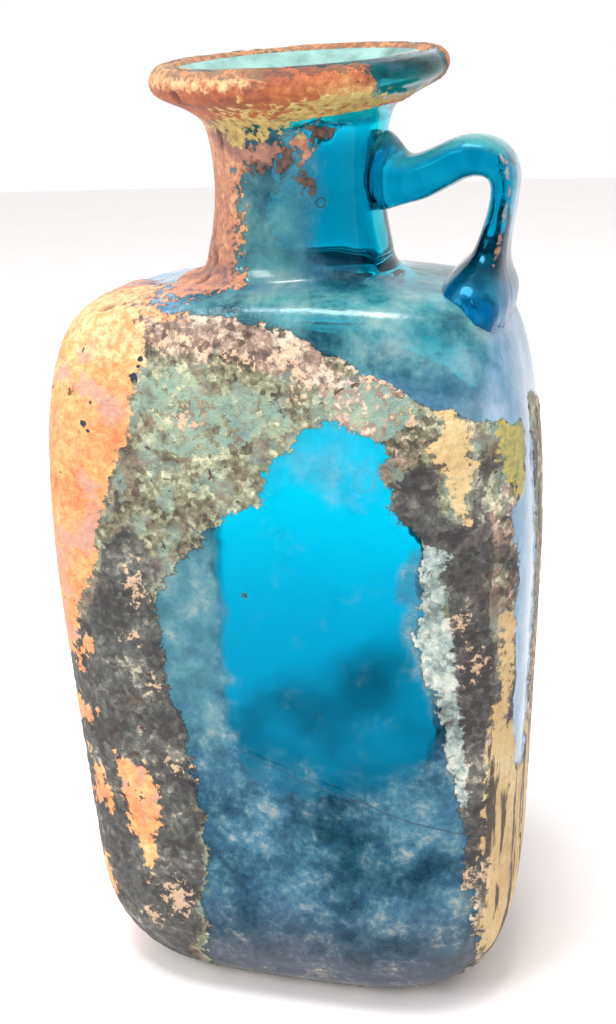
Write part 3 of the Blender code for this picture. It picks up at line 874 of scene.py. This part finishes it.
def fine_marks(paint):
    """Where thin dark marks show: a crack, the film's edge, a bubble, a pit and scattered specks."""
    crack = paint.strip(CRACK[0], CRACK[-1], CRACK_WIDTH) * paint.field("crack").above(0.0, 0.3)
    marks = (crack * 0.7).most(paint.field("film_edge").above(0.4, 0.9) * 0.5)
    marks = marks.most(paint.ring(BUBBLE) * 0.3).most(paint.ring(NECK_PIT) * 0.9)
    for spot in DARK_SPOTS:
        marks = marks.most(paint.spot(spot))
    return marks.most(paint.clouds(0.0007, 2).above(0.73, 0.78) * 0.4)


def weathered_glass():
    """Blue glass under crust and film. The crust is opaque, and the glass between it is clear."""
    paint = Paint("weathered glass")
    speck = paint.clouds(0.00095, 5, 0.7)
    blotch = paint.clouds(0.0065, 5, 0.6)
    cover = paint.patch("crust", speck + (blotch - 0.5) * 0.25, paint.field("neck") * 1.1 + 0.9)
    wisps = ((blotch - 0.5) * 1.2 + (speck - 0.5) * 0.6) * (1 - paint.field("calm"))
    veil = (paint.field("film") + wisps).above(0.05, 0.85) * 0.9
    marks = fine_marks(paint)
    skin = paint.blend(film_colour(paint, speck, blotch), crust_colour(paint, speck, blotch), cover)
    skin = paint.blend(skin, tone(16, 40, 52), marks)

    grit = paint.grains(0.0013, 0.0006, "Distance")
    height = cover * 0.5 + cover * (speck * 0.9 + (grit * -0.5 + 0.5)) + veil * 0.15
    opaque = paint.shader({
        "Base Color": skin, "Roughness": cover * (0.26 + speck * 0.3) + 0.16, "IOR": GLASS_IOR,
        "Normal": paint.bump(height, 0.0007, 0.9),
    })
    # Painted shade: the clear glass's tint darkens towards the bottom of the window, standing in for the
    # shadowed floor seen through it, and darkens below the rim on the neck.
    tint = paint.blend(tone(2, 228, 248), tone(0, 156, 186), paint.field("deep"))
    clear = paint.shader({
        "Base Color": tint, "Roughness": 0.03, "IOR": GLASS_IOR, "Transmission Weight": 1.0,
        "Normal": paint.bump(paint.clouds(0.008, 2, 0.5), 0.0004, 0.4), "Specular Tint": BLUE_GLEAM,
    })
    return paint.finish(paint.over(cover.most(veil).most(marks), clear, opaque))


def clean_glass():
    """The handle's clear, saturated blue glass, with a worn line of crust down its outer edge."""
    paint = Paint("clean blue glass")
    speck = paint.clouds(0.0012, 4, 0.6)
    cords = paint.clouds(0.004, 3, 0.5, 0.6, (1, 1, 0.3))
    tint = paint.blend(tone(0, 130, 172), tone(10, 158, 194), cords.above(0.35, 0.65))
    ripples = paint.bump(cords, 0.0004, 0.5)
    clear = paint.shader({
        "Base Color": tint, "Roughness": 0.05, "IOR": GLASS_IOR, "Transmission Weight": 1.0,
        "Normal": ripples, "Specular Tint": BLUE_GLEAM,
    })
    rust = paint.blend(tone(120, 84, 62), tone(196, 146, 106), speck.above(0.4, 0.6))
    film = paint.blend(tone(0, 88, 138), tone(44, 130, 168), cords.above(0.45, 0.62))
    film = paint.blend(film, tone(72, 158, 152), paint.field("top"))
    line = (paint.field("outer_edge") + (speck - 0.5) * 2.2).above(0.7, 1.0)
    skin = paint.blend(film, rust, line)
    opaque = paint.shader({
        "Base Color": skin, "Roughness": 0.25, "IOR": GLASS_IOR, "Normal": ripples,
        "Specular Tint": BLUE_GLEAM,
    })
    veil = (paint.field("top") * 0.6).most(paint.field("foot") * 0.8) * speck.above(0.2, 0.5)
    return paint.finish(paint.over((line * 0.6).most(veil), clear, opaque))


def pale_floor():
    paint = Paint("pale floor")
    grain = paint.clouds(0.03, 3, 0.5)
    colour = paint.blend(tone(240, 234, 234), tone(246, 241, 240), grain)
    return paint.finish(paint.shader({"Base Color": colour, "Roughness": 0.6}))


def place_camera():
    camera = bpy.data.objects.new("camera", bpy.data.cameras.new("camera"))
    bpy.context.scene.collection.objects.link(camera)
    camera.data.sensor_width = SENSOR
    camera.data.lens = LENS
    camera.data.clip_start = NEAREST_SEEN
    back = Vector((
        math.sin(CAMERA_TURN) * math.cos(CAMERA_DOWN),
        -math.cos(CAMERA_TURN) * math.cos(CAMERA_DOWN),
        math.sin(CAMERA_DOWN),
    ))
    right = Vector((math.cos(CAMERA_TURN), math.sin(CAMERA_TURN), 0))
    up = back.cross(right)
    c, s = math.cos(CAMERA_ROLL), math.sin(CAMERA_ROLL)
    turned = Matrix((c * right - s * up, s * right + c * up, back)).transposed().to_4x4()
    camera.matrix_world = Matrix.Translation(CAMERA_PLACE) @ turned
    bpy.context.scene.camera = camera


def soft_light(name, place, aim, size, power):
    light = bpy.data.objects.new(name, bpy.data.lights.new(name, "AREA"))
    bpy.context.scene.collection.objects.link(light)
    light.data.shape = "RECTANGLE"
    light.data.size, light.data.size_y = size
    light.data.energy = power
    light.location = place
    light.rotation_euler = (Vector(aim) - Vector(place)).to_track_quat("-Z", "Y").to_euler()


def light_studio():
    world = bpy.data.worlds.new("studio")
    bpy.context.scene.world = world
    world.use_nodes = True
    background = world.node_tree.nodes["Background"]
    background.inputs["Color"].default_value = SURROUNDINGS
    background.inputs["Strength"].default_value = SURROUNDINGS_POWER
    soft_light("key", *KEY)
    soft_light("overhead panel", *OVERHEAD)
    bpy.context.scene.view_settings.view_transform = "Standard"


def lay_floor():
    mesh = bmesh.new()
    bmesh.ops.create_grid(mesh, x_segments=1, y_segments=1, size=FLOOR_HALF)
    floor = new_object("floor", mesh)
    floor.data.materials.append(pale_floor())


def dress(piece, node, material):
    piece.data.materials.clear()
    piece.data.materials.append(material)
    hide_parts(node)
    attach(piece, "root")


place_camera()
light_studio()
lay_floor()
dress(make_vessel(), "vessel", weathered_glass())
dress(make_handle(), "handle", clean_glass())
